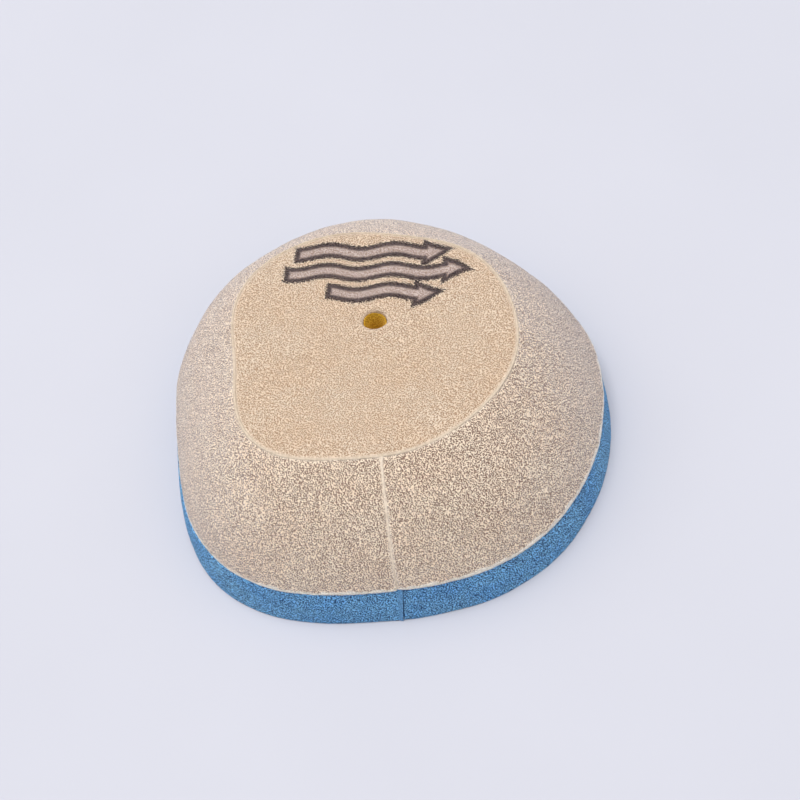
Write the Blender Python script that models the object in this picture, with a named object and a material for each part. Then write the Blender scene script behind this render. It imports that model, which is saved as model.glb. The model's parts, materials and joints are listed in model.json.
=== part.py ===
"""A dual-layer foam air filter for an off-road motorcycle, standing on its seal ring.

The outer shell is coarse foam and the shell under it is fine foam. Each shell is a flat top
panel and one strip of side wall, glued edge to edge round the rim and up one seam. Both shells
are glued on top of a thick seal ring of dense foam, cut open and glued at one joint. One bolt
hole goes through the two top panels.

Lengths are in metres. Z is up, and the origin is on the ground under the middle of the ring.
"""

import math

import bmesh
import bpy
import numpy as np

# Overall sizes
BASE_WIDTH = 0.165  # side wall at its foot, along X
BASE_LENGTH = 0.169  # the same, along Y
TOP_WIDTH = 0.106  # rim of the top panel, along X
TOP_LENGTH = 0.103  # the same, along Y
TOP_SHIFT = (0.002, -0.0015)  # the panel's middle from the base's middle
HEIGHT = 0.059

# Radii every 30 degrees, counter-clockwise from +X. Only their proportions count, because an
# outline is stretched to its own width and length.
BASE_SHAPE = (82.5, 78.5, 80.5, 84.5, 84, 84, 81.5, 90, 87, 84.5, 88, 86)
TOP_SHAPE = (53, 51.5, 47.5, 50.5, 55.5, 55, 51.5, 58.5, 53.5, 51.5, 52, 54)

# The wall's curve bends towards a point at these shares of its run out and its rise.
WALL_OUT = 0.745
WALL_UP = 0.575

# Foam
OUTER_FOAM = 0.004
INNER_FOAM = 0.007
SEAL_HEIGHT = 0.0175
SEAL_LIP = 0.006  # how far the ring reaches inside the fine foam
SEAL_FLARE = 0.0028  # how far the ring's foot stands out past its top

# Bolt hole
BOLT_HOLE = 0.009
BOLT_HOLE_AT = (0.005, 0.005)

# Joints
SEAM_ANGLE = math.radians(-97.5)  # the wall's seam, seen from above
SEAL_JOINT_ANGLE = math.radians(-96.8)  # the ring's joint, just to the right of the seam
GLUE = 0.0008  # thickness of a glue line
FOOT_GLUE = 0.0006  # thickness of the film under the walls
FOOT_GLUE_MARGIN = 0.001  # how far that film stays inside the foam's faces
GLUE_BEAD = 0.003  # leg of the bead inside the wall's foot
BEAD_TIP = 0.0006  # thickness of that bead where it runs out up the wall
GAP = 0.0003  # clearance between neighbours

# How finely the surfaces are drawn
STATIONS = 60  # round an outline
RISES = 6  # up a wall

SECTION_STEP = math.tau / STATIONS
JOINT = GLUE + 2 * GAP
WALL_FOOT = SEAL_HEIGHT + FOOT_GLUE + 2 * GAP
INNER_DEPTH = OUTER_FOAM + GAP
FULL_DEPTH = INNER_DEPTH + INNER_FOAM

# The wall's mean run and rise, and its slope at the foot and at the rim
MEAN_RUN = (BASE_WIDTH + BASE_LENGTH - TOP_WIDTH - TOP_LENGTH) / 4
MEAN_RISE = HEIGHT - WALL_FOOT
FOOT_LEAN = (1 - WALL_OUT) * MEAN_RUN / (WALL_UP * MEAN_RISE)
FOOT_INSET = math.hypot(1, FOOT_LEAN)  # inward step at the foot for each unit of depth
SEAL_WIDTH = FOOT_INSET * FULL_DEPTH + SEAL_LIP
RIM_SLOPE = math.atan2((1 - WALL_UP) * MEAN_RISE, WALL_OUT * MEAN_RUN)
RIM_MITRE = math.tan(RIM_SLOPE / 2)  # inward step at the rim for each unit of depth


class Outline:
    """A smooth closed curve through evenly spaced radii, stretched to a width and a length."""

    def __init__(self, shape, width, length, middle=(0, 0)):
        self.shape = np.array(shape, dtype=float)
        self.size = np.array([width, length])
        self.middle = np.array(middle, dtype=float)
        curve = self.raw(np.linspace(0, math.tau, 720, endpoint=False))
        self.low = curve.min(axis=0)
        self.span = curve.max(axis=0) - self.low

    def raw(self, angle):
        """The curve before it is stretched: its radius is the sum of the waves that fit."""
        count = len(self.shape)
        stations = math.tau * np.arange(count) / count
        radius = np.full_like(angle, self.shape.mean())
        for wave in range(1, count // 2 + 1):
            share = 1 / count if 2 * wave == count else 2 / count
            cosine = share * (self.shape * np.cos(wave * stations)).sum()
            sine = share * (self.shape * np.sin(wave * stations)).sum()
            radius = radius + cosine * np.cos(wave * angle) + sine * np.sin(wave * angle)
        return np.stack([radius * np.cos(angle), radius * np.sin(angle)], axis=-1)

    def line(self, angle):
        """Points of the stretched curve, in plan."""
        share = (self.raw(angle) - self.low) / self.span
        return self.middle + (share - 0.5) * self.size

    def outward(self, angle):
        """The curve's outward direction, in plan."""
        angle = np.asarray(angle, dtype=float)
        along = self.line(angle + 1e-4) - self.line(angle - 1e-4)
        along /= np.linalg.norm(along, axis=-1, keepdims=True)
        return np.stack([along[..., 1], -along[..., 0]], axis=-1)

    def at(self, angle, outset=0.0):
        """Points that lie outset outside the curve, in plan."""
        return self.line(np.asarray(angle, dtype=float)) + outset * self.outward(angle)


BASE = Outline(BASE_SHAPE, BASE_WIDTH, BASE_LENGTH)
TOP = Outline(TOP_SHAPE, TOP_WIDTH, TOP_LENGTH, TOP_SHIFT)


def raised(plan, height):
    """Plan points lifted to a height."""
    return np.concatenate([plan, np.full(plan.shape[:-1] + (1,), float(height))], axis=-1)


def rim(angle, side, depth):
    """A point of the rim's mitre line, side outside it, at a depth below the top."""
    return raised(TOP.at(angle, side - RIM_MITRE * depth), HEIGHT - depth)


def wall_line(angle, depth):
    """The wall's curve from foot to rim at one angle and depth, as RISES + 1 points."""
    foot = raised(BASE.at(angle, -FOOT_INSET * depth), WALL_FOOT)
    head = rim(angle, JOINT / 2, depth)
    bend = head + (foot - head) * np.array([WALL_OUT, WALL_OUT, 1 - WALL_UP])
    rise = np.linspace(0, 1, RISES + 1)[:, None]
    return (1 - rise) ** 2 * foot + 2 * rise * (1 - rise) * bend + rise**2 * head


def sideways(outline_foot, outline_head, angle):
    """The level direction across a seam at this angle, counter-clockwise."""
    run = outline_foot.at(angle) - outline_head.at(angle)
    run /= np.linalg.norm(run)
    return np.array([-run[1], run[0], 0.0])


def add_solid(name, sections, closed, material):
    """Skins a row of sections, each two rows of points that face each other.

    A closed row joins its last section to its first, and an open one is capped at both ends.
    """
    sections = np.asarray(sections)
    count, _, rows, _ = sections.shape
    bm = bmesh.new()
    verts = [[[bm.verts.new(point) for point in row] for row in pair] for pair in sections]
    for here in range(count if closed else count - 1):
        one = verts[here][0] + verts[here][1][::-1]
        two = verts[(here + 1) % count][0] + verts[(here + 1) % count][1][::-1]
        for step in range(2 * rows):
            after = (step + 1) % (2 * rows)
            bm.faces.new((one[step], one[after], two[after], two[step]))
    if not closed:
        for outer, inner in (verts[0], verts[-1]):
            for step in range(rows - 1):
                bm.faces.new((outer[step], outer[step + 1], inner[step + 1], inner[step]))
    bmesh.ops.recalc_face_normals(bm, faces=bm.faces)
    return add_object(name, bm, material)


def add_object(name, bm, material):
    """Turns a bmesh into a smooth-shaded object of the filter."""
    mesh = bpy.data.meshes.new(name)
    bm.to_mesh(mesh)
    bm.free()
    mesh.materials.append(material)
    mesh.shade_smooth()
    mesh.set_sharp_from_angle(angle=math.radians(40))
    obj = bpy.data.objects.new(name, mesh)
    parts.objects.link(obj)
    obj.parent = origin
    return obj


def foam_material(name, colour, roughness):
    """A Principled material from an sRGB colour in 0 to 255."""
    linear = [((value / 255 + 0.055) / 1.055) ** 2.4 for value in colour]
    material = bpy.data.materials.new(name)
    material.use_nodes = True
    shader = material.node_tree.nodes["Principled BSDF"]
    shader.inputs["Base Color"].default_value = (*linear, 1)
    shader.inputs["Roughness"].default_value = roughness
    shader.inputs["Metallic"].default_value = 0
    material.diffuse_color = (*linear, 1)
    return material


def open_stations(angle):
    """The angles of a strip that starts and ends at a seam, without the seam itself."""
    return angle + SECTION_STEP * np.arange(1, STATIONS)


def closed_stations():
    """The angles of a closed ring, in step with the side walls."""
    return SEAM_ANGLE + SECTION_STEP * np.arange(STATIONS)


def top_panel(name, shallow, deep, material):
    """A flat panel between two depths, its edge cut on the rim's mitre, with the bolt hole."""
    bm = bmesh.new()
    angles = closed_stations()
    upper = [bm.verts.new(point) for point in rim(angles, -JOINT / 2, shallow)]
    lower = [bm.verts.new(point) for point in rim(angles, -JOINT / 2, deep)]
    bm.faces.new(upper)
    bm.faces.new(lower[::-1])
    for here in range(STATIONS):
        after = (here + 1) % STATIONS
        bm.faces.new((lower[here], lower[after], upper[after], upper[here]))
    panel = add_object(name, bm, material)
    cut = panel.modifiers.new("bolt_hole", "BOOLEAN")
    cut.operation = "DIFFERENCE"
    cut.solver = "EXACT"
    cut.object = bolt_hole_cutter
    return panel


def side_wall(name, shallow, deep, material):
    """The strip of side wall between two depths, open at its seam."""
    across = sideways(BASE, TOP, SEAM_ANGLE) * JOINT / 2
    seam = np.array([wall_line(SEAM_ANGLE, shallow), wall_line(SEAM_ANGLE, deep)])
    stations = open_stations(SEAM_ANGLE)
    body = [[wall_line(angle, shallow), wall_line(angle, deep)] for angle in stations]
    return add_solid(name, [seam + across, *body, seam - across], False, material)


def seam_glue(name, shallow, deep, material):
    """The glue line between the two ends of a side wall."""
    across = sideways(BASE, TOP, SEAM_ANGLE) * GLUE / 2
    outer = wall_line(SEAM_ANGLE, shallow)
    inner = wall_line(SEAM_ANGLE, deep)
    sections = [
        [[near - across, near + across], [far - across, far + across]]
        for near, far in zip(outer, inner)
    ]
    return add_solid(name, sections, False, material)


def rim_glue(name, shallow, deep, material):
    """The glue line between a top panel and its side wall."""
    sections = []
    for angle in closed_stations():
        outside = [rim(angle, GLUE / 2, shallow), rim(angle, GLUE / 2, deep)]
        inside = [rim(angle, -GLUE / 2, shallow), rim(angle, -GLUE / 2, deep)]
        sections.append([outside, inside])
    return add_solid(name, sections, True, material)


def seal_section(angle):
    """The seal ring's section: a flared outer face and an upright inner face."""
    outer = [raised(BASE.at(angle, SEAL_FLARE), 0), raised(BASE.at(angle), SEAL_HEIGHT)]
    plan = BASE.at(angle, -SEAL_WIDTH)
    return np.array([outer, [raised(plan, 0), raised(plan, SEAL_HEIGHT)]])


def seal_ring(material):
    """The thick ring that the walls stand on, open at its joint."""
    across = sideways(BASE, TOP, SEAL_JOINT_ANGLE) * JOINT / 2
    end = seal_section(SEAL_JOINT_ANGLE)
    body = [seal_section(angle) for angle in open_stations(SEAL_JOINT_ANGLE)]
    return add_solid("seal_ring", [end + across, *body, end - across], False, material)


def seal_joint_glue(material):
    """The glue line between the two ends of the seal ring, clear of the ground."""
    across = sideways(BASE, TOP, SEAL_JOINT_ANGLE) * GLUE / 2
    section = seal_section(SEAL_JOINT_ANGLE)
    section[:, 0, 2] = GAP
    return add_solid("seal_joint_glue", [section - across, section + across], False, material)


def wall_foot_glue(material):
    """The flat film of glue between the seal ring and the feet of both walls."""
    low = SEAL_HEIGHT + GAP
    sections = []
    for angle in closed_stations():
        outer = BASE.at(angle, -FOOT_GLUE_MARGIN)
        inner = BASE.at(angle, FOOT_GLUE_MARGIN - FOOT_INSET * FULL_DEPTH)
        pair = [[raised(plan, low), raised(plan, low + FOOT_GLUE)] for plan in (outer, inner)]
        sections.append(pair)
    return add_solid("wall_foot_glue", sections, True, material)


def inner_foot_glue(material):
    """The bead of glue in the corner between the fine foam and the seal ring's lip."""
    low = SEAL_HEIGHT + GAP
    high = WALL_FOOT + GLUE_BEAD
    sections = []
    for angle in closed_stations():
        foot, above = wall_line(angle, FULL_DEPTH)[:2]
        climb = (above - foot) * GLUE_BEAD / (above[2] - foot[2])
        inward = -BASE.outward(angle)
        corner = foot[:2] + GAP * inward
        top = (foot + climb)[:2] + GAP * inward
        toe = top + GLUE_BEAD * inward
        tip = top + BEAD_TIP * inward
        outer = [raised(corner, low), raised(top, high)]
        inner = [raised(toe, low), raised(tip, high)]
        sections.append([outer, inner])
    return add_solid("inner_foot_glue", sections, True, material)


def bolt_hole():
    """The cutter for the hole through both top panels."""
    bpy.ops.mesh.primitive_cylinder_add(
        vertices=40,
        radius=BOLT_HOLE / 2,
        depth=4 * FULL_DEPTH,
        location=(*BOLT_HOLE_AT, HEIGHT),
    )
    cutter = bpy.context.object
    cutter.name = "bolt_hole_cutter"
    cutter.hide_render = True
    cutter.display_type = "WIRE"
    for collection in list(cutter.users_collection):
        collection.objects.unlink(cutter)
    cutters.objects.link(cutter)
    return cutter


for old in list(bpy.data.objects):
    bpy.data.objects.remove(old, do_unlink=True)

parts = bpy.data.collections.new("air_filter")
cutters = bpy.data.collections.new("air_filter_cutters")
bpy.context.scene.collection.children.link(parts)
bpy.context.scene.collection.children.link(cutters)
origin = bpy.data.objects.new("air_filter_origin", None)
parts.objects.link(origin)

coarse_foam = foam_material("coarse_foam", (216, 192, 164), 0.95)
fine_foam = foam_material("fine_foam", (190, 145, 40), 0.95)
seal_foam = foam_material("seal_foam", (82, 128, 178), 0.9)
foam_glue = foam_material("foam_glue", (226, 208, 176), 0.5)
seal_glue = foam_material("seal_glue", (110, 150, 192), 0.5)

bolt_hole_cutter = bolt_hole()
top_panel("outer_top_panel", 0, OUTER_FOAM, coarse_foam)
top_panel("inner_top_panel", INNER_DEPTH, FULL_DEPTH, fine_foam)
side_wall("outer_side_wall", 0, OUTER_FOAM, coarse_foam)
side_wall("inner_side_wall", INNER_DEPTH, FULL_DEPTH, fine_foam)
seal_ring(seal_foam)
rim_glue("outer_rim_glue", 0, OUTER_FOAM, foam_glue)
rim_glue("inner_rim_glue", INNER_DEPTH, FULL_DEPTH, foam_glue)
seam_glue("outer_seam_glue", 0, OUTER_FOAM, foam_glue)
seam_glue("inner_seam_glue", INNER_DEPTH, FULL_DEPTH, foam_glue)
seal_joint_glue(seal_glue)
wall_foot_glue(foam_glue)
inner_foot_glue(foam_glue)
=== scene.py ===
# %% [markdown]
# # A foam air filter for an off-road motorcycle
# The filter is a dome of two foam shells glued on a thick foam seal ring. Nothing in it is
# hard: every edge is a knife cut in foam, and every joint is a bead of glue. The solid model
# gives the sizes and the places. This lesson gives each piece its surface: pores, cut edges,
# glue that sits proud, and ink that only takes on the highest strands.

# %% Load the solid model
import json
import math

import bpy
import numpy as np
from mathutils import Matrix, Vector


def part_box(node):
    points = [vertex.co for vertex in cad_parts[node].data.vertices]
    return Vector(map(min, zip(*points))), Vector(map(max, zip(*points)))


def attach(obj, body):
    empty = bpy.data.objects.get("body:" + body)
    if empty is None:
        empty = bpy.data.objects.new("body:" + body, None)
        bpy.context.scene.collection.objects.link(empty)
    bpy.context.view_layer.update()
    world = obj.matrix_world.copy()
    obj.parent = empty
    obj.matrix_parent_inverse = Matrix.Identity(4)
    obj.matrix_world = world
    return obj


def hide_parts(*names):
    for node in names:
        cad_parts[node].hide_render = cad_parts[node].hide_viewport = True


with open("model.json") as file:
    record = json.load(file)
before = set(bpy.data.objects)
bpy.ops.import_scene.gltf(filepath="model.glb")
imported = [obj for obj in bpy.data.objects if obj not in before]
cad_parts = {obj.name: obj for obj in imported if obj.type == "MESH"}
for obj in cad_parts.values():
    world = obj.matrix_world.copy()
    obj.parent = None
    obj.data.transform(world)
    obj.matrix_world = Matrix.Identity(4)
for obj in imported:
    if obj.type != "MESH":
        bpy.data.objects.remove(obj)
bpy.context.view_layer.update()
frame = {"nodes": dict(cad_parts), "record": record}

MM = 0.001

# %% [markdown]
# ## Sizes
# A size is never typed twice. The solid model holds every piece at rest, so its boxes give the
# width of the wall's foot, the rim of the top panel, the heights and the foam's thickness. Only
# the shares that no box can tell are written here: how the outlines bulge and where the seams
# are, as the maker of the pattern would note them.


# %% Sizes from the boxes
def span(node, axis):
    """How long a node's box is along an axis, 0 for X to 2 for Z."""
    low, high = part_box(node)
    return high[axis] - low[axis]


def edge(node, side, axis):
    """The low (0) or high (1) face of a node's box along an axis."""
    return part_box(node)[side][axis]


GLUE = 0.8 * MM
HEIGHT = edge("outer_top_panel", 1, 2)
SEAL_HEIGHT = edge("seal_ring", 1, 2)
BASE_SIZE = (span("outer_side_wall", 0), span("outer_side_wall", 1))
TOP_SIZE = (span("outer_rim_glue", 0) - GLUE, span("outer_rim_glue", 1) - GLUE)
TOP_MIDDLE = tuple((edge("outer_rim_glue", 0, k) + edge("outer_rim_glue", 1, k)) / 2 for k in (0, 1))
SEAL_FLARE = (span("seal_ring", 0) - BASE_SIZE[0]) / 2
OUTER_FOAM = span("outer_top_panel", 2)
INNER_DEPTH = HEIGHT - edge("inner_top_panel", 1, 2)
FULL_DEPTH = HEIGHT - edge("inner_top_panel", 0, 2)
BOLT_HOLE = next(box for box in frame["record"]["physics"]["openings"] if box["name"] == "bolt_hole")
HOLE_MIDDLE = np.mean(BOLT_HOLE["box_m"], axis=0)[:2]
HOLE_RADIUS = 4.5 * MM
print("foam layers, in mm:", round(OUTER_FOAM / MM, 1), round((FULL_DEPTH - INNER_DEPTH) / MM, 1))

# %% The pattern's own shares
BASE_SHAPE = (82.5, 78.5, 80.5, 84.5, 84, 84, 81.5, 90, 87, 84.5, 88, 86)
TOP_SHAPE = (53, 51.5, 47.5, 50.5, 55.5, 55, 51.5, 58.5, 53.5, 51.5, 52, 54)
WALL_OUT, WALL_UP = 0.745, 0.575
SEAL_LIP = 6 * MM
SEAM_ANGLE = math.radians(-97.5)
SEAL_JOINT_ANGLE = math.radians(-96.8)
print("radii in the base and top patterns:", len(BASE_SHAPE), len(TOP_SHAPE))

# %% [markdown]
# ## Camera
# The camera looks down at the filter from in front, a little over half a metre away, and it is
# rolled about its own axis, so the filter leans in the frame. It is built from three
# directions at right angles, which is plainer than chaining rotations.

# %% Camera
ELEVATION = math.radians(55.96)
CAMERA_AWAY = 0.5875
CAMERA_ROLL = math.radians(14.49)
AIM = Vector((0.0067, 0.0079, 0))
FOCAL_LENGTH = 66.1  # mm, on a 36 mm sensor

back = Vector((0, -math.cos(ELEVATION), math.sin(ELEVATION)))
level = Vector((1, 0, 0))
upward = back.cross(level)
right = math.cos(CAMERA_ROLL) * level - math.sin(CAMERA_ROLL) * upward
camera_up = back.cross(right)
camera = bpy.data.objects.new("camera", bpy.data.cameras.new("camera"))
camera.data.lens = FOCAL_LENGTH
camera.data.sensor_width = 36
camera.data.clip_start = 0.01
turned_to = Matrix((right, camera_up, back)).transposed().to_4x4()
camera.matrix_world = Matrix.Translation(AIM + CAMERA_AWAY * back) @ turned_to
bpy.context.scene.collection.objects.link(camera)
bpy.context.scene.camera = camera
print("camera at, in mm:", [round(v / MM) for v in camera.location])

# %% [markdown]
# ## Outlines
# Seen from above, the foot of the wall and the rim of the top panel are lopsided eggs. A few
# radii round the clock fix such a shape, and a sum of cosine and sine waves through them is
# smooth everywhere and closes on itself. A chain of Bezier curves would do too, but waves give
# the outline, its direction and any offset from it as whole arrays.


# %% An egg outline from a few radii
class Outline:
    """A closed curve: its radius is the sum of waves through evenly spaced radii, stretched."""

    def __init__(self, shape, size, middle=(0.0, 0.0)):
        self.shape = np.array(shape, dtype=float)
        self.size = np.array(size)
        self.middle = np.array(middle)
        curve = self.raw(np.linspace(0, math.tau, 720, endpoint=False))
        self.low = curve.min(axis=0)
        self.reach = curve.max(axis=0) - self.low

    def raw(self, angle):
        """Mean radius plus, for each wave, its cosine share and its sine share."""
        count = len(self.shape)
        clock = math.tau * np.arange(count) / count
        radius = self.shape.mean() + 0 * angle
        for wave in range(1, count // 2 + 1):
            share = 1 / count if 2 * wave == count else 2 / count
            radius = radius + share * (self.shape @ np.cos(wave * clock)) * np.cos(wave * angle)
            radius = radius + share * (self.shape @ np.sin(wave * clock)) * np.sin(wave * angle)
        return np.stack([radius * np.cos(angle), radius * np.sin(angle)], axis=-1)

    def line(self, angle):
        """The raw curve moved and stretched so that its box has the asked size and middle."""
        return self.middle + ((self.raw(angle) - self.low) / self.reach - 0.5) * self.size

    def outward(self, angle):
        """The direction along the curve, turned a quarter to the outside."""
        along = self.line(angle + 1e-4) - self.line(angle - 1e-4)
        along = along / np.linalg.norm(along, axis=-1, keepdims=True)
        return np.stack([along[..., 1], -along[..., 0]], axis=-1)

    def at(self, angle, outset, height):
        """Points outset outside the curve at a height; all three may be arrays."""
        angle, outset, height = np.broadcast_arrays(angle, outset, height)
        plan = self.line(angle) + outset[..., None] * self.outward(angle)
        return np.concatenate([plan, height[..., None]], axis=-1)


BASE = Outline(BASE_SHAPE, BASE_SIZE)
TOP = Outline(TOP_SHAPE, TOP_SIZE, TOP_MIDDLE)
steps_round = np.diff(BASE.line(np.linspace(0, math.tau, 400)), axis=0)
print("round the foot, in mm:", round(np.linalg.norm(steps_round, axis=1).sum() / MM))

# %% [markdown]
# ## The wall's surface
# From foot to rim the wall follows one bent line. A quadratic Bezier curve is enough: it leaves
# the foot steeply and comes over to the top panel at a shallow slope. The same curve, started
# further in, is the wall at any depth in the foam, so one function serves the outside, the
# inside and both layers. At the rim the layers meet the panels on a mitre, halfway between the
# two slopes, as two strips of card would.

# %% Slopes and the wall function
MEAN_RUN = (sum(BASE_SIZE) - sum(TOP_SIZE)) / 4
MEAN_RISE = HEIGHT - SEAL_HEIGHT
FOOT_LEAN = (1 - WALL_OUT) * MEAN_RUN / (WALL_UP * MEAN_RISE)
FOOT_INSET = math.hypot(1, FOOT_LEAN)
RIM_SLOPE = math.atan2((1 - WALL_UP) * MEAN_RISE, WALL_OUT * MEAN_RUN)
RIM_MITRE = math.tan(RIM_SLOPE / 2)
SEAM_STEP = 0.7 * MM  # the strip's right end is cut this much shorter than its left end


def turned(angle, start):
    """The angle past a start, wrapped to lie between minus half a turn and half a turn."""
    return (angle - start + math.pi) % math.tau - math.pi


def foot_height(angle):
    """Top of the seal ring: level, but it rises just right of the seam, then fades out."""
    past = turned(angle, SEAM_ANGLE)
    return SEAL_HEIGHT + SEAM_STEP * np.where(past > 0, np.exp(-past / 0.3), 0)


def wall(angle, rise, depth):
    """Foot to rim by (1 - rise) squared, the bend by twice rise (1 - rise), the rim by rise squared."""
    angle, rise, depth = np.broadcast_arrays(angle, rise, depth)
    foot = BASE.at(angle, -FOOT_INSET * depth, foot_height(angle))
    head = TOP.at(angle, -RIM_MITRE * depth, HEIGHT - depth)
    bend = head + (foot - head) * np.array([WALL_OUT, WALL_OUT, 1 - WALL_UP])
    rise = rise[..., None]
    return (1 - rise) ** 2 * foot + 2 * rise * (1 - rise) * bend + rise**2 * head


steps_up = np.diff(wall(0.0, np.linspace(0, 1, 60), 0.0), axis=0)
WALL_LENGTH = float(np.linalg.norm(steps_up, axis=1).sum())
print("wall from foot to rim, in mm:", round(WALL_LENGTH / MM, 1))

# %% [markdown]
# ## Unevenness
# Cut foam is never true. It waves where the sheet was bent, it is rough where the knife tore
# strands, and its glue comes in lumps. All of that is one noise: random values on the corners
# of a grid of cubes, blended smoothly in between. The table of values is drawn once from a
# fixed seed, so the filter comes out the same each time.

# %% Noise on cube corners
TABLE_SIZE = 32
TABLE = np.random.default_rng(7).uniform(-1, 1, (TABLE_SIZE, TABLE_SIZE, TABLE_SIZE))


def waves(points, size, shift=0):
    """Smooth noise from -1 to 1: corner values of cubes of this size, eased by t t (3 - 2 t)."""
    scaled = points / size + 11.3 + 5.7 * shift
    corner = np.floor(scaled).astype(int)
    part = scaled - corner
    ease = part * part * (3 - 2 * part)
    total = 0
    for x in (0, 1):
        for y in (0, 1):
            for z in (0, 1):
                weight = np.prod(np.abs(1 - np.array([x, y, z]) - ease), axis=-1)
                index = (corner + np.array([x, y, z])) % TABLE_SIZE
                total = total + weight * TABLE[index[..., 0], index[..., 1], index[..., 2]]
    return total


def torn(points, pore):
    """Rough cut foam: noise at the pore's size plus two finer or coarser ones, from -1 to 1."""
    return 0.5 * waves(points, pore) + 0.3 * waves(points, 0.6 * pore, 1) + 0.2 * waves(points, 3 * pore, 2)


print("noise at two places:", waves(np.array([[0.0, 0.0, 0.0], [0.5, 0.0, 0.0]]), 1.0).round(2))

# %% [markdown]
# ## From a grid to a mesh
# Every foam piece is a closed profile carried along a path. That makes a grid of points with
# one row for each stop on the path and one column for each point of the profile. The columns
# always join up. The rows join up on a ring, and on a strip with two cut ends each end is
# closed with one flat face. The direction out of the surface is worked out on the grid, from
# the two ways along it, and the unevenness is pushed along that.


# %% Carry a profile along a path
def facing(grid, ring):
    """Unit directions out of the grid: the way along the path crossed with the way round."""
    if ring:
        along = np.roll(grid, -1, axis=0) - np.roll(grid, 1, axis=0)
    else:
        along = np.gradient(grid, axis=0)
    around = np.roll(grid, -1, axis=1) - np.roll(grid, 1, axis=1)
    out = np.cross(along, around)
    return out / np.maximum(np.linalg.norm(out, axis=-1, keepdims=True), 1e-12)


def grid_faces(rows, columns, ring):
    """Four-cornered faces between neighbours: columns wrap round, and rows do on a ring."""
    here = np.arange(rows if ring else rows - 1)[:, None]
    after = (here + 1) % rows
    column = np.arange(columns)[None, :]
    beside = (column + 1) % columns
    corners = [
        here * columns + column,
        after * columns + column,
        after * columns + beside,
        here * columns + beside,
    ]
    return np.stack(corners, axis=-1).reshape(-1, 4)


def skin(name, grid, ring, material, painted=None):
    """Makes the mesh of a grid, with its attributes, and lets it ride on the filter's body."""
    rows, columns, _ = grid.shape
    faces = grid_faces(rows, columns, ring).tolist()
    if not ring:
        faces.append(list(range(columns)))
        faces.append(list(range((rows - 1) * columns, rows * columns))[::-1])
    mesh = bpy.data.meshes.new(name)
    mesh.from_pydata(grid.reshape(-1, 3).tolist(), [], faces)
    for title, values in (painted or {}).items():
        layer = mesh.attributes.new(title, "FLOAT", "POINT")
        spread = np.broadcast_to(values, (rows, columns)).astype(np.float32)
        layer.data.foreach_set("value", spread.ravel())
    mesh.shade_smooth()
    mesh.set_sharp_from_angle(angle=math.radians(70))
    mesh.materials.append(material)
    piece = bpy.data.objects.new(name, mesh)
    bpy.context.scene.collection.objects.link(piece)
    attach(piece, "root")
    print(f"{name}: {rows} x {columns} points, about {2 * rows * columns} triangles")
    return piece


print("faces on a ring of 4 rows and 3 columns:", len(grid_faces(4, 3, True)))

# %% [markdown]
# ## Profiles with soft corners
# A knife leaves a crisp edge, but foam relaxes, and glue pulls the edge in. So every profile is
# a polygon whose corners are rounded, each by its own radius. A quadratic Bezier curve makes
# the round. It isn't a true arc, but at a millimetre on torn foam nobody can tell, and it works
# at any corner angle. Points crowd together near the corners, where the surface turns most.


# %% Stops and rounded profiles
def stops(start, end, count, crowding, width):
    """Steps from start to end, up to 1 + crowding times shorter over a share of width at each end."""
    share = np.linspace(0, 1, 2000)
    near = np.exp(-((share / width) ** 2)) + np.exp(-(((1 - share) / width) ** 2))
    filled = np.concatenate([[0], np.cumsum(1 + crowding * (near[1:] + near[:-1]) / 2)])
    return start + (end - start) * np.interp(np.linspace(0, filled[-1], count), filled, share)


def rounded_loop(corners, radii, counts):
    """A polygon as points: side k leaves corner k with its own count of stops, and each corner is
    a quadratic Bezier curve that starts and ends one radius away from it."""
    corners = np.array(corners, dtype=float)
    turn = np.linspace(0, 1, 7)[1:-1, None]
    points = []
    for k, corner in enumerate(corners):
        after = (k + 1) % len(corners)
        to_before = corners[k - 1] - corner
        to_after = corners[after] - corner
        start = corner + radii[k] * to_before / np.linalg.norm(to_before)
        leave = corner + radii[k] * to_after / np.linalg.norm(to_after)
        arrive = corners[after] - radii[after] * to_after / np.linalg.norm(to_after)
        points.append((1 - turn) ** 2 * start + 2 * turn * (1 - turn) * corner + turn**2 * leave)
        share = stops(0, 1, counts[k], 2.0, 0.05)[:, None]
        points.append(leave + share * (arrive - leave))
    return np.concatenate(points)


def eased(values, low, high):
    """0 below low, 1 above high, eased in between by t t (3 - 2 t)."""
    share = np.clip((values - low) / (high - low), 0, 1)
    return share * share * (3 - 2 * share)


print("stops, closer together near both ends:", stops(0, 1, 6, 3.0, 0.2).round(2))

# %% [markdown]
# ## Shader maths in plain Python
# A pore pattern is a sum: cells, finer cells, a threshold. Wiring that by hand hides the sum in
# a page of node calls. Here a small class wraps one output socket, and `+`, `-` and `*` on it
# add the Math nodes. Everything that is not arithmetic goes through one method that makes a
# node, sets its settings first, and then its inputs.


# %% Wires and finishes
class Wire:
    """One output socket, on which arithmetic makes Math nodes."""

    def __init__(self, finish, socket):
        self.finish = finish
        self.socket = socket

    def math(self, operation, *values):
        made = self.finish.node("ShaderNodeMath", {"operation": operation}, dict(enumerate(values)))
        return made("Value")

    def __add__(self, other):
        return self.math("ADD", self, other)

    def __radd__(self, other):
        return self.math("ADD", other, self)

    def __sub__(self, other):
        return self.math("SUBTRACT", self, other)

    def __rsub__(self, other):
        return self.math("SUBTRACT", other, self)

    def __mul__(self, other):
        return self.math("MULTIPLY", self, other)

    def __rmul__(self, other):
        return self.math("MULTIPLY", other, self)

    def __abs__(self):
        return self.math("ABSOLUTE", self)

    def least(self, other):
        return self.math("MINIMUM", self, other)

    def most(self, other):
        return self.math("MAXIMUM", self, other)

    def sine(self):
        return self.math("SINE", self)


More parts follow.
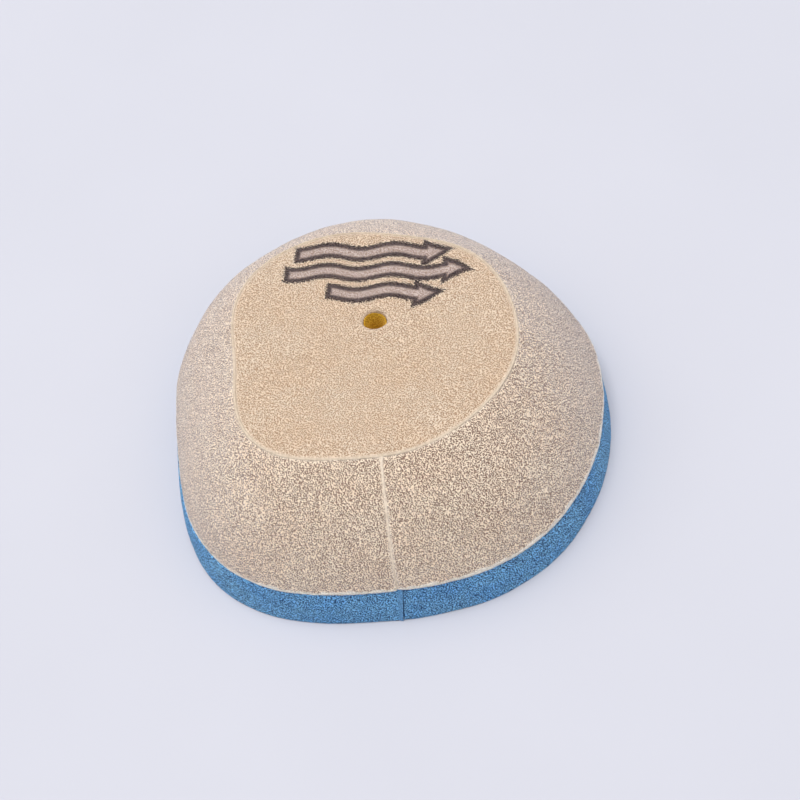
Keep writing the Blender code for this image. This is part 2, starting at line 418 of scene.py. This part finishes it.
class Finish:
    """A material built from its nodes. Its surface is one Principled shader."""

    def __init__(self, name):
        self.material = bpy.data.materials.new(name)
        self.material.use_nodes = True
        self.tree = self.material.node_tree
        self.shader = self.tree.nodes["Principled BSDF"]

    def node(self, kind, settings=None, inputs=None):
        """Adds a node, sets its settings, then sets or links its inputs.
        Returns a function that gives one of its outputs as a Wire."""
        made = self.tree.nodes.new(kind)
        for key, value in (settings or {}).items():
            setattr(made, key, value)
        for key, value in (inputs or {}).items():
            self.feed(made.inputs[key], value)
        return lambda output: Wire(self, made.outputs[output])

    def feed(self, socket, value):
        """Links a Wire to a socket, or sets the socket to a plain value."""
        if isinstance(value, Wire):
            self.tree.links.new(value.socket, socket)
        else:
            socket.default_value = value

    def place(self):
        """Object coordinates: metres in the filter's own frame."""
        return self.node("ShaderNodeTexCoord")("Object")

    def apart(self, vector):
        """The three numbers of a vector."""
        made = self.node("ShaderNodeSeparateXYZ", inputs={"Vector": vector})
        return made("X"), made("Y"), made("Z")

    def shifted(self, where, way):
        """A place moved by a step."""
        return self.node("ShaderNodeVectorMath", {"operation": "ADD"}, {0: where, 1: way})("Vector")

    def cells(self, where, size):
        """Distance to the nearest of scattered points, one to a cube of this size."""
        inputs = {"Vector": where, "Scale": 1 / size}
        return self.node("ShaderNodeTexVoronoi", {"voronoi_dimensions": "3D"}, inputs)("Distance")

    def cloud(self, where, size):
        """Soft noise from 0 to 1 with lumps of about this size."""
        inputs = {"Vector": where, "Scale": 1 / size, "Detail": 2.0, "Roughness": 0.6}
        return self.node("ShaderNodeTexNoise", {"noise_dimensions": "3D"}, inputs)("Fac")

    def rise(self, value, low, high):
        """0 at low, 1 at high, eased in between; low may be above high."""
        inputs = {"Value": value, "From Min": low, "From Max": high}
        return self.node("ShaderNodeMapRange", {"interpolation_type": "SMOOTHSTEP"}, inputs)("Result")

    def blend(self, share, first, second):
        """A colour between two colours."""
        inputs = {0: share, 6: first, 7: second}
        return self.node("ShaderNodeMix", {"data_type": "RGBA"}, inputs)(2)

    def painted(self, title):
        """A number painted on the mesh's points."""
        return self.node("ShaderNodeAttribute", {"attribute_name": title})("Fac")

    def bumps(self, height, distance):
        """Surface directions of a height field."""
        inputs = {"Height": height, "Distance": distance, "Strength": 1.0}
        return self.node("ShaderNodeBump", inputs=inputs)("Normal")

    def surface(self, **inputs):
        """Feeds the shader, with underscores for the spaces in its sockets' names."""
        for key, value in inputs.items():
            self.feed(self.shader.inputs[key.replace("_", " ")], value)
        return self.material


def colour(red, green, blue):
    """A screen colour, 0 to 255, as the linear colour that a shader wants."""
    return (*[((v / 255 + 0.055) / 1.055) ** 2.4 for v in (red, green, blue)], 1.0)


print("screen grey 128 is, to a shader:", round(colour(128, 128, 128)[0], 3))

# %% [markdown]
# ## Foam
# Open-cell foam is a heap of bubbles whose skins have gone, so only the strands where bubbles
# met are left. A cut through it shows pale strands round hollows in shade, and that shade is
# painted into the colour here as pore shade. Scattered points with the distance to the nearest
# one give the pattern: the distance is small in the middle of a bubble and large on the strands.
# On its own that pattern comes out in clumps, so the mean of the distances a little way beside
# is taken off it, which leaves only what changes from one pore to the next. Modelling each
# strand would take millions of faces, so the mesh carries the roughness that shows on an edge,
# and the material carries the pores with their painted shade. All the foams share one recipe,
# and here one pore size too, and differ in colour and in how deep the pores look.


# %% The foam recipe
PORE = 0.5 * MM
BESIDE = 0.8 * PORE  # how far away the neighbouring distances are taken
STRAND_LEVEL, PORE_SHADE_LEVEL = 0.1, -0.14  # heights at which strand and hollow are pure


class Foam(Finish):
    """Pale strands, painted shade in the hollows, a slow drift of the strands' tone from pale to flush."""

    def __init__(self, name, pale, flush, pore_shade):
        super().__init__(name)
        self.where = self.place()
        ways = ((BESIDE, 0, 0), (0, BESIDE, 0), (0, 0, BESIDE))
        beside = sum(self.cells(self.shifted(self.where, way), PORE) for way in ways)
        self.heights = self.cells(self.where, PORE) - beside * (1 / len(ways))
        self.pore_shade_share = self.rise(self.heights, STRAND_LEVEL, PORE_SHADE_LEVEL)
        drift = self.rise(self.cloud(self.where, 18 * MM), 0.3, 0.7)
        patches = self.rise(self.cloud(self.where, 3 * MM), 0.3, 0.7)
        self.strands = self.blend(0.6 * drift + 0.4 * patches, pale, flush)
        self.pore_shade = pore_shade

    def paint_soak_and_highlight(self, pale):
        """Pales the strands and thins the pore shade where painted: glue soaked in, and painted highlight
        on cut edges.
        """
        soak_and_highlight = self.painted("soak_and_highlight")
        self.strands = self.blend(0.7 * soak_and_highlight, self.strands, pale)
        self.pore_shade_share = self.pore_shade_share * (1 - 0.6 * soak_and_highlight)

    def done(self, depth, sheen_tint, sheen=0.3):
        """Lays the painted pore shade between the strands and gives the fuzz that whitens foam seen
        edge-on.
        """
        shown = self.blend(self.pore_shade_share, self.strands, self.pore_shade)
        return self.surface(
            Base_Color=shown,
            Normal=self.bumps(self.heights, depth),
            Roughness=0.95,
            Specular_IOR_Level=0.1,
            Sheen_Weight=sheen,
            Sheen_Roughness=0.4,
            Sheen_Tint=sheen_tint,
        )


print("one bubble, in mm:", PORE / MM)

# %% Wall, inner and seal foam
# The wall and the top panel are one foam. The wall's colours are set much lighter than the top's: painted
# light, making up for the wall taking less lamp light than the top.
cream = Foam("cream_coarse_foam", colour(254, 236, 212), colour(250, 226, 200), colour(140, 112, 95))
cream.paint_soak_and_highlight(colour(255, 248, 236))
cream_wall_finish = cream.done(0.5 * MM, colour(216, 228, 255), 0.5)

gold = Foam("golden_fine_foam", colour(223, 183, 67), colour(210, 163, 52), colour(174, 126, 31))
gold_finish = gold.done(0.25 * MM, colour(255, 240, 200), 0.1)

blue = Foam("blue_seal_foam", colour(148, 214, 255), colour(124, 196, 255), colour(0, 6, 80))
blue.paint_soak_and_highlight(colour(112, 164, 214))
blue_finish = blue.done(0.5 * MM, colour(200, 222, 255), 0.15)
print("foam finishes:", [f.material.name for f in (cream, gold, blue)])

# %% [markdown]
# ## The print on the top panel
# The top carries a printed mark: three wavy streams of air that end in arrowheads, a generic
# sign for the way the air flows. Each has a dark outline and a greyish infill. A picture would
# need a file, so the mark is a distance instead. For one stream it is the distance to a bar
# bent along a sine wave, joined with the distance to a triangle; below zero is inside. Where
# the distance is near zero there is outline, and further in there is infill. Ink sits on the
# strands, the painted pore shade in the hollows is darkened under it so the pores still show
# through, and its edge bleeds a little.

# %% Streams of air as distances
MARK_MIDDLE = (10 * MM, 27.5 * MM)
MARK_TURN = math.radians(-17)
STREAMS = ((9.0, -31, 27), (-0.6, -34, 35), (-10.2, -17, 25))  # height, tail and tip, in mm
WAVE_LENGTH = 25 * MM
WAVE_HEIGHT = 1.1 * MM
BAR = 2.7 * MM  # half the thickness of a stream
HEAD_LENGTH = 9 * MM
HEAD_HALF = 5 * MM
OUTLINE = 2.2 * MM
INK_EDGE = 0.3 * MM  # over which the ink fades
BLEED = 1.6 * MM  # how far the ink's edge wanders with the pores


def stream(finish, along, across, height, tail, tip):
    """Distance to a bar joined with a triangle, both bent along a sine wave."""
    level = across - height - WAVE_HEIGHT * (along * (math.tau / WAVE_LENGTH)).sine()
    bar = (abs(level) - BAR).most(tail - along).most(along - (tip - HEAD_LENGTH / 2))
    slope = HEAD_HALF / HEAD_LENGTH
    flank = (abs(level) + slope * (along - tip)) * math.cos(math.atan(slope))
    head = flank.most(tip - HEAD_LENGTH - along)
    return bar.least(head)


def print_on(finish):
    """How much outline and how much infill there is, from the nearest stream's distance."""
    x, y, _ = finish.apart(finish.where)
    x, y = x - MARK_MIDDLE[0], y - MARK_MIDDLE[1]
    along = x * math.cos(MARK_TURN) + y * math.sin(MARK_TURN)
    across = y * math.cos(MARK_TURN) - x * math.sin(MARK_TURN)
    nearest, *others = [stream(finish, along, across, *(v * MM for v in one)) for one in STREAMS]
    for other in others:
        nearest = nearest.least(other)
    bled = nearest + BLEED * finish.heights
    outline = finish.rise(abs(bled), OUTLINE / 2 + INK_EDGE, OUTLINE / 2 - INK_EDGE)
    infill = finish.rise(bled, 0, -INK_EDGE)
    return outline, infill


# The same foam as the wall, set darker than the wall's colours: painted shade, so the top under the lamp
# above comes out only a little brighter than the wall.
top = Foam("printed_top_foam", colour(223, 205, 184), colour(221, 196, 170), colour(163, 134, 108))
outline, infill = print_on(top)
top.paint_soak_and_highlight(colour(228, 212, 194))
top.strands = top.blend(infill * 0.85, top.strands, colour(192, 176, 171))
top.strands = top.blend(outline * 0.9, top.strands, colour(62, 46, 52))
# Under the ink the painted pore shade is darkened too.
top.pore_shade = top.blend(infill * 0.6, top.pore_shade, colour(132, 116, 114))
top.pore_shade = top.blend(outline * 0.95, top.pore_shade, colour(16, 7, 12))
top_finish = top.done(0.35 * MM, colour(238, 242, 255), 0.3)
print("streams of air in the print:", len(STREAMS))

# %% [markdown]
# ## Glue
# The joints are set with a rubbery adhesive. It soaks into the foam and dries as a pale, uneven
# skin, smoother than the foam beside it, so it needs soft lumps and a little gloss and no
# pores. The front seam's bead stands a little prouder than the rim's and is given a paler
# colour, and the seal ring's glue is blue.


# %% Glue finishes
def glue(name, pale, dark, gloss):
    """Soft lumps in two tones, with a few pits."""
    finish = Finish(name)
    where = finish.place()
    lumps = finish.cloud(where, 2.2 * MM)
    pits = finish.cells(where, 0.9 * MM)
    shown = finish.blend(finish.rise(0.6 * lumps + 0.4 * pits, 0.62, 0.35), pale, dark)
    return finish.surface(
        Base_Color=shown,
        Normal=finish.bumps(0.5 * lumps + 0.5 * pits, 0.2 * MM),
        Roughness=gloss,
        Specular_IOR_Level=0.3,
    )


cream_glue_finish = glue("cream_foam_glue", colour(205, 188, 168), colour(189, 171, 150), 0.6)
seam_glue_finish = glue("pale_seam_glue", colour(230, 214, 194), colour(212, 194, 174), 0.6)
blue_glue_finish = glue("blue_seal_glue", colour(74, 115, 163), colour(43, 79, 126), 0.55)
print("glue finishes:", [f.name for f in (cream_glue_finish, seam_glue_finish, blue_glue_finish)])

# %% [markdown]
# ## The top panel
# The panel is a flat sheet of foam with one punched hole. Its grid runs round the clock, and at
# each angle one profile goes up the edge, in over the top to the hole, down the hole and back
# out underneath. The share between hole and rim is one parameter and the depth is the other, so
# the hole stays round while the rim stays an egg. The punched edge is soft, and the rim rolls
# down into the glue. The golden foam under it swells up through the hole as a collar, higher on
# the far side, and slopes down to a smaller hole of its own. The coarse foam's near edge leans
# over a little.


# %% Both top panels
TEAR = 1.2 * MM  # size of the roughness that a knife leaves in foam
PUNCHED = 1.5 * MM  # radius to which the hole closes at the bottom of the fine foam
PUNCH_FLARE = HOLE_RADIUS - 0.2 * MM - PUNCHED  # from there to the coarse foam's hole
COLLAR = 3.2 * MM  # how far the fine foam swells up into the coarse foam's hole
COLLAR_LEAN = 1.4 * MM  # more than that on the far side, and less on the near side
COLLAR_TURN = math.radians(-14)  # the far side is a quarter turn on from here
PIT = 4.0 * MM  # how far the fine foam slopes down to where the hole closes
LIP = 1.3 * MM  # how far the coarse foam's near edge leans over the hole


def panel_grid(shallow, deep, rows, counts, gap, soft, hole_radius, pushed):
    """A point goes from the hole's circle to the rim by its share, at its depth below the top.
    Pushed is 1 for foam that swells up in the hole: from the pit in a line up to the collar,
    whose height is its mean plus the lean times the sine of the angle."""
    angle = SEAM_ANGLE + math.tau * np.arange(rows)[:, None] / rows
    reach = sum(TOP_SIZE) / 4 - hole_radius
    corners = [(reach, deep), (reach, shallow), (0, shallow), (0, deep)]
    length, depth = rounded_loop(corners, soft, counts).T
    share = length / reach
    circle = HOLE_MIDDLE + hole_radius * np.stack([np.cos(angle), np.sin(angle)], axis=-1)
    head = TOP.at(angle, -gap - RIM_MITRE * depth, HEIGHT - depth)
    plan = circle + share[:, None] * (head[..., :2] - circle)
    near = eased(-np.sin(angle - COLLAR_TURN), 0, 1) * np.exp(-((length / (2 * MM)) ** 2))
    lip = (1 - pushed) * LIP * near * eased(depth, deep, shallow)
    plan = plan + lip[..., None] * np.array([-math.sin(COLLAR_TURN), math.cos(COLLAR_TURN)])
    grid = np.concatenate([plan, head[..., 2:]], axis=-1)
    over = eased(share, 1 - 3 * MM / reach, 1) * eased(depth, shallow + 1 * MM, shallow)
    grid[..., 2] -= 0.45 * MM * over
    ledge = PUNCH_FLARE - 0.5 * MM
    swollen = np.interp(length, [0, ledge, PUNCH_FLARE, PUNCH_FLARE + 0.25 * MM], [0, 1, 1, 0])
    sunk = np.interp(length, [0, PUNCH_FLARE], [PIT, 0])
    cone = swollen * (COLLAR + COLLAR_LEAN * np.sin(angle - COLLAR_TURN)) - sunk
    grid[..., 2] += pushed * cone * eased(depth, deep, shallow)
    push = 0.1 * MM * torn(grid, TEAR) + 0.25 * MM * waves(grid, 20 * MM, 3) * eased(share, 0, 0.2)
    # Paled by glue along the rim, and by a painted highlight round the punched hole's edge.
    soak_and_highlight = eased(length, reach - 1.1 * MM, reach - 0.3 * MM) + 0.4 * eased(length, 1.5 * MM, 0.4 * MM)
    return grid + push[..., None] * facing(grid, True), soak_and_highlight


top_grid, top_soak_and_highlight = panel_grid(
    0, OUTER_FOAM, 600, (10, 96, 8, 24), 0.35 * MM,
    (0.4 * MM, 0.6 * MM, 1.8 * MM, 0.5 * MM), HOLE_RADIUS - 0.1 * MM, 0,
)
outer_top = skin("outer_top_foam", top_grid, True, top_finish, {"soak_and_highlight": top_soak_and_highlight})
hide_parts("outer_top_panel")

inner_top_grid, _ = panel_grid(
    INNER_DEPTH, FULL_DEPTH, 300, (10, 80, 10, 70), 0.3 * MM,
    (0.4 * MM, 0.4 * MM, 0.5 * MM, 0.5 * MM), PUNCHED, 1,
)
inner_top = skin("inner_top_foam", inner_top_grid, True, gold_finish)
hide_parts("inner_top_panel")

# %% [markdown]
# ## The side walls
# The wall is one strip of foam bent round the dome, its two ends butted and glued at the front.
# The same wall function that gives a point at an angle, a rise and a depth makes both layers.
# The profile is the strip's section: up the outside, in over the rim, down the inside and back
# out under the foot. The strip's ends draw in a little where the glue holds them, which leaves
# the shallow valley on both sides of the seam. Glue has soaked into the strip's rim and ends, so
# they are paler; the pale ragged band along the foot's cut edge is a painted highlight.


# %% Both side walls
SEAM_RADIUS = 70 * MM  # turns an angle past the seam into a length
GAP_FADE = 0.06  # radians over which the shift of a strip's end fades


def seam_shift(angle, gap):
    """How far the strip's ends stand off the seam: half the gap, fading with distance."""
    past = turned(angle, SEAM_ANGLE)
    return gap * np.sign(past) * np.exp(-np.abs(past) / GAP_FADE)


def across_seam(angle):
    """The level direction across the seam, counter-clockwise, from the outlines' two points."""
    run = BASE.line(np.array(angle)) - TOP.line(np.array(angle))
    run = run / np.linalg.norm(run)
    return np.array([-run[1], run[0], 0.0])


def strip_angles(start, count):
    """Angles once round from a joint, in short steps near it, just short of the full turn."""
    return start + stops(1e-6, math.tau - 1e-6, count, 3.0, 0.006)


def overhang(angle):
    """How far the wall's foot swells out over the ring: most on the right; front left it draws in."""
    left = 1.4 * MM * np.exp(-((turned(angle, math.radians(-155)) / 0.4) ** 2))
    right = 1.1 * MM * np.exp(-((turned(angle, -0.1) / 0.6) ** 2))
    return 0.8 * MM + right - left


def wall_grid(shallow, deep, rows, counts, gap, soft, valley, bulge):
    """Wall points at each angle round a rounded section, pushed in at the seam and the rim."""
    angle = strip_angles(SEAM_ANGLE, rows)[:, None]
    corners = [(0, shallow), (WALL_LENGTH, shallow), (WALL_LENGTH, deep), (0, deep)]
    length, depth = rounded_loop(corners, soft, counts).T
    grid = wall(angle, length / WALL_LENGTH, depth)
    past = turned(angle, SEAM_ANGLE)
    near_seam = np.exp(-((np.abs(past) * SEAM_RADIUS / (1.5 * MM)) ** 1.2))
    near_rim = np.exp(-(((WALL_LENGTH - length) / (1.6 * MM)) ** 1.2))
    outside = eased(depth, shallow + 1 * MM, shallow)
    sag = -valley * outside * np.maximum(near_seam, 0.8 * near_rim)
    swell = 0.35 * MM * waves(grid, 16 * MM, 4) + 0.15 * MM * waves(grid, 7 * MM, 5)
    swell = swell + bulge * outside * overhang(angle) * np.exp(-length / (9 * MM))
    ragged = 0.1 * MM + 0.12 * MM * np.exp(-length / (1.5 * MM))
    push = sag + swell + ragged * torn(grid, TEAR)
    away = seam_shift(angle, gap)[..., None] * across_seam(SEAM_ANGLE)
    glued = np.exp(-(((WALL_LENGTH - length) / (0.8 * MM)) ** 2)) * outside
    glued = np.maximum(glued, np.exp(-((np.abs(past) * SEAM_RADIUS / (0.6 * MM)) ** 2)) * outside)
    # The pale ragged band along the foot's cut edge is a painted highlight; near the rim and the seam the
    # paling is glue.
    frayed = length + 0.8 * MM * waves(grid, 1.6 * MM, 14)
    soak_and_highlight = np.maximum(0.6 * glued, 1.2 * eased(frayed, 1.9 * MM, 1.2 * MM) * outside)
    return grid + away + push[..., None] * facing(grid, False), soak_and_highlight


outer_wall_grid, wall_soak_and_highlight = wall_grid(
    0, OUTER_FOAM, 800, (74, 6, 14, 7), 0.35 * MM,
    (0.8 * MM, 0.5 * MM, 0.4 * MM, 0.6 * MM), 0.35 * MM, 1,
)
outer_wall = skin(
    "outer_wall_foam", outer_wall_grid, False, cream_wall_finish, {"soak_and_highlight": wall_soak_and_highlight}
)
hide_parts("outer_side_wall")

inner_wall_grid, _ = wall_grid(
    INNER_DEPTH, FULL_DEPTH, 500, (24, 8, 70, 14), 0.3 * MM,
    (0.6 * MM, 0.5 * MM, 0.5 * MM, 1.0 * MM), 0, 0,
)
inner_wall = skin("inner_wall_foam", inner_wall_grid, False, gold_finish)
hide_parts("inner_side_wall")

# %% [markdown]
# ## The seal ring
# The ring is a thick strip of denser blue foam, cut from sheet, bent round and glued where its
# ends meet, just right of the wall's seam. Bent foam wants to open, so the ring flares towards
# its foot and waves a little. The left end springs out at the bottom of the joint, and the
# glue wiped off the joint has left a paler band beside it.

# %% Seal ring
SEAL_WIDTH = FOOT_INSET * FULL_DEPTH + SEAL_LIP
SPREAD = 0.7 * MM  # the foot of soft foam spreads a little under the ring's weight
END_STEP = 0.5 * MM
SMEAR = 1.8 * MM
JOINT_TOP = 1.0 * MM  # the joint is cut aslant: this far right at the top,
JOINT_FOOT = -1.4 * MM  # and this far left at the foot
ROUND = 87 * MM  # the ring's radius at the joint


def joint_lean(upper):
    """How far right the slanted joint lies, at a share of the ring's height."""
    return JOINT_TOP * upper + JOINT_FOOT * (1 - upper)


def seal_grid(rows, counts, gap):
    """Outset and height of a flared section at each angle, waved, with one end sprung out."""
    angle = strip_angles(SEAL_JOINT_ANGLE, rows)[:, None]
    corners = [(SEAL_FLARE, 0), (0, SEAL_HEIGHT), (-SEAL_WIDTH, SEAL_HEIGHT), (-SEAL_WIDTH, 0)]
    radii = (0.7 * MM, 0.8 * MM, 1.0 * MM, 1.0 * MM)
    outset, height = rounded_loop(corners, radii, counts).T
    past = turned(angle, SEAL_JOINT_ANGLE)
    left = np.where(past < 0, np.exp(past * ROUND / SMEAR), 0)
    upper = height / SEAL_HEIGHT
    outset = outset + (SPREAD * eased(outset, -2 * MM, 0) + END_STEP * left) * (1 - upper)
    height = height + (foot_height(angle) - SEAL_HEIGHT) * upper
    grid = BASE.at(angle, outset, height)
    swell = 0.3 * MM * waves(grid, 14 * MM, 6) * (1 - eased(upper, 0.9, 1))
    bulge = 0.4 * MM * np.sin(math.pi * upper) * eased(outset, -2 * MM, 0)
    push = swell + bulge + 0.14 * MM * torn(grid, TEAR)
    away = (np.sign(past) * gap + joint_lean(upper)) * np.exp(-np.abs(past) / GAP_FADE)
    grid = grid + away[..., None] * across_seam(SEAL_JOINT_ANGLE) + push[..., None] * facing(grid, False)
    grid[..., 2] = np.maximum(grid[..., 2], 0)
    smear = (past < 0) * eased(np.abs(past) * ROUND, 1.3 * SMEAR, 0.7 * SMEAR)
    return grid, smear


ring_grid, ring_smear = seal_grid(860, (36, 16, 18, 24), 0.14 * MM)
seal = skin("seal_foam_ring", ring_grid, False, blue_finish, {"soak_and_highlight": ring_smear})
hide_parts("seal_ring")

# %% [markdown]
# ## Glue lines
# Each glued joint is a bead: a tall flat section that fills the gap between two cut edges and
# stands a little proud, carried along the joint. The section is a squarish oval, whose cosine
# and sine are raised to a power below one. Its width and its proud edge wander, because the
# glue is brushed on by hand.


# %% Beads
BEAD_POINTS = 20
SQUARISH = 0.6  # the power that squares the oval


def bead(name, path, out, half_width, depth, proud, ring, node, material):
    """A squarish oval round a path: centred half its depth below, leaning with the surface."""
    if ring:
        along = np.roll(path, -1, axis=0) - np.roll(path, 1, axis=0)
    else:
        along = np.gradient(path, axis=0)
    along = along / np.linalg.norm(along, axis=1, keepdims=True)
    side = np.cross(out, along)
    turn = math.tau * np.arange(BEAD_POINTS) / BEAD_POINTS
    high = np.sign(np.cos(turn)) * np.abs(np.cos(turn)) ** SQUARISH
    wide = np.sign(np.sin(turn)) * np.abs(np.sin(turn)) ** SQUARISH
    half_height = (depth + proud) / 2
    middle = path + (proud / 2 - depth / 2)[:, None] * out
    grid = middle[:, None] + (high * half_height[:, None])[..., None] * out[:, None]
    grid = grid + (wide * half_width[:, None])[..., None] * side[:, None]
    grid = grid + 0.08 * MM * torn(grid, TEAR)[..., None] * facing(grid, ring)
    piece = skin(name, grid, ring, material)
    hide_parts(node)


def wander(path, base, share, size, shift):
    """A size that drifts along a path by a share of itself."""
    return base * (1 + share * waves(path, size, shift))


print("points round a bead:", BEAD_POINTS)

# %% Rim beads
def rim_bead(name, shallow, deep, node, half_width, proud):
    """Round the rim, leaning halfway between the panel's upright and the wall's outward; the
    glue was wiped thinner at the back."""
    angle = SEAM_ANGLE + math.tau * np.arange(700) / 700
    path = TOP.at(angle, -RIM_MITRE * shallow, HEIGHT - shallow + 0 * angle)
    lean = RIM_SLOPE / 2
    out = np.concatenate([math.sin(lean) * TOP.outward(angle), 0 * angle[:, None] + math.cos(lean)], axis=1)
    thin = 1 - 0.4 * np.exp(-((turned(angle, math.radians(95)) / 0.9) ** 2))
    width = wander(path, half_width, 0.25, 5 * MM, 8) * thin
    stands = wander(path, proud, 0.5, 4 * MM, 9)
    depth = (deep - shallow) / math.cos(lean) + 0 * angle
    bead(name, path, out, width, depth, stands, True, node, cream_glue_finish)


rim_bead("outer_rim_glue_line", 0, OUTER_FOAM, "outer_rim_glue", 0.65 * MM, 0.0)
rim_bead("inner_rim_glue_line", INNER_DEPTH, FULL_DEPTH, "inner_rim_glue", 0.5 * MM, 0.0)


# %% Seam beads
def seam_bead(name, shallow, deep, node, half_width, proud):
    """Up the wall at the seam, wider at the foot and where it meets the rim."""
    rise = np.linspace(0.012, 0.995, 160)
    path = wall(SEAM_ANGLE, rise, shallow)
    up = np.gradient(path, axis=0)
    out = np.cross(across_seam(SEAM_ANGLE), up)
    out = out / np.linalg.norm(out, axis=1, keepdims=True)
    ends = 1.5 * np.exp(-((1 - rise) / 0.03)) + 0.5 * np.exp(-rise / 0.05)
    width = wander(path, half_width, 0.25, 4 * MM, 10) * (1 + ends)
    stands = wander(path, proud, 0.5, 4 * MM, 11)
    depth = deep - shallow + 0 * rise
    bead(name, path, out, width, depth, stands, False, node, seam_glue_finish)


seam_bead("outer_seam_glue_line", 0, OUTER_FOAM, "outer_seam_glue", 0.62 * MM, 0.1 * MM)
seam_bead("inner_seam_glue_line", INNER_DEPTH, FULL_DEPTH, "inner_seam_glue", 0.45 * MM, 0.0)

# %% [markdown]
# ## Glue you rarely see
# Inside, a bead fills the corner between the golden foam and the seal ring. In the ring's joint
# the glue has shrunk back behind the cut faces, which makes the joint a dark line. The film
# under the walls keeps its solid from the model, because only its finish could be seen.

# %% Foot bead, ring joint and foot film
foot_angle = SEAM_ANGLE + math.tau * np.arange(500) / 500
foot_path = wall(foot_angle, 0.03, FULL_DEPTH)
foot_out = np.concatenate([-BASE.outward(foot_angle), 0 * foot_angle[:, None] + 0.6], axis=1)
foot_out = foot_out / np.linalg.norm(foot_out, axis=1, keepdims=True)
bead(
    "inner_foot_glue_line", foot_path, foot_out, wander(foot_path, 1.7 * MM, 0.15, 6 * MM, 12),
    0.8 * MM + 0 * foot_angle, wander(foot_path, 1.6 * MM, 0.2, 5 * MM, 13), True,
    "inner_foot_glue", cream_glue_finish,
)

joint_corners = [
    (SEAL_FLARE - 0.3 * MM, 0.4 * MM), (-0.2 * MM, SEAL_HEIGHT - 0.4 * MM),
    (0.5 * MM - SEAL_WIDTH, SEAL_HEIGHT - 0.6 * MM), (0.5 * MM - SEAL_WIDTH, 0.4 * MM),
]
joint_outset, joint_height = rounded_loop(joint_corners, [0.5 * MM] * 4, (12, 12, 12, 12)).T
joint_section = BASE.at(SEAL_JOINT_ANGLE, joint_outset, joint_height)
joint_steps = np.linspace(-0.3, 0.3, 5)[:, None] * MM + joint_lean(joint_height / SEAL_HEIGHT)
joint_grid = joint_section + joint_steps[..., None] * across_seam(SEAL_JOINT_ANGLE)
joint = skin("seal_joint_glue_line", joint_grid, False, blue_glue_finish)
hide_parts("seal_joint_glue")

film_materials = frame["nodes"]["wall_foot_glue"].data.materials
film_materials.clear()
film_materials.append(cream_glue_finish)

# %% [markdown]
# ## Floor and light
# The filter stands on a plain pale floor in soft studio light. A lamp right above does most of
# the work, because it darkens the floor beside the filter least. A larger lamp high on the left
# lays a faint shadow to the right, a weak one fills in from the front right, and the pale world
# gives the rest.

# %% Floor
FLOOR_HALF = 4.0
floor_mesh = bpy.data.meshes.new("floor")
floor_corners = [(-1, -1, 0), (1, -1, 0), (1, 1, 0), (-1, 1, 0)]
floor_mesh.from_pydata((FLOOR_HALF * np.array(floor_corners)).tolist(), [], [(0, 1, 2, 3)])
floor = bpy.data.objects.new("floor", floor_mesh)
bpy.context.scene.collection.objects.link(floor)
paper = Finish("pale_paper")
paper_tone = paper.rise(paper.cloud(paper.place(), 120 * MM), 0.2, 0.8)
paper_shown = paper.blend(paper_tone, colour(194, 195, 204), colour(196, 197, 206))
floor_mesh.materials.append(paper.surface(Base_Color=paper_shown, Roughness=0.9, Specular_IOR_Level=0.1))
print("floor, in m:", 2 * FLOOR_HALF)


# %% Lamps
def lamp(name, place, size, power, tint):
    """A square area lamp that faces the filter."""
    data = bpy.data.lights.new(name, "AREA")
    data.size = size
    data.energy = power
    data.color = tint
    made = bpy.data.objects.new(name, data)
    made.location = place
    made.rotation_euler = (Vector((0, 0, 0.03)) - Vector(place)).to_track_quat("-Z", "Y").to_euler()
    bpy.context.scene.collection.objects.link(made)


WARM = (1.0, 0.975, 0.94)
lamp("top_lamp", (-0.1, 0.0, 2.6), 1.4, 46, WARM)
lamp("key_lamp", (-1.3, 0.7, 2.4), 2.4, 24, WARM)
lamp("fill_lamp", (1.5, -1.0, 2.0), 2.4, 9, (1.0, 0.98, 0.96))
world = bpy.data.worlds.new("studio")
world.use_nodes = True
sky = world.node_tree.nodes["Background"].inputs
sky["Color"].default_value = (0.90, 0.93, 1.0, 1.0)
sky["Strength"].default_value = 0.55
bpy.context.scene.world = world
bpy.context.scene.view_settings.view_transform = "Standard"
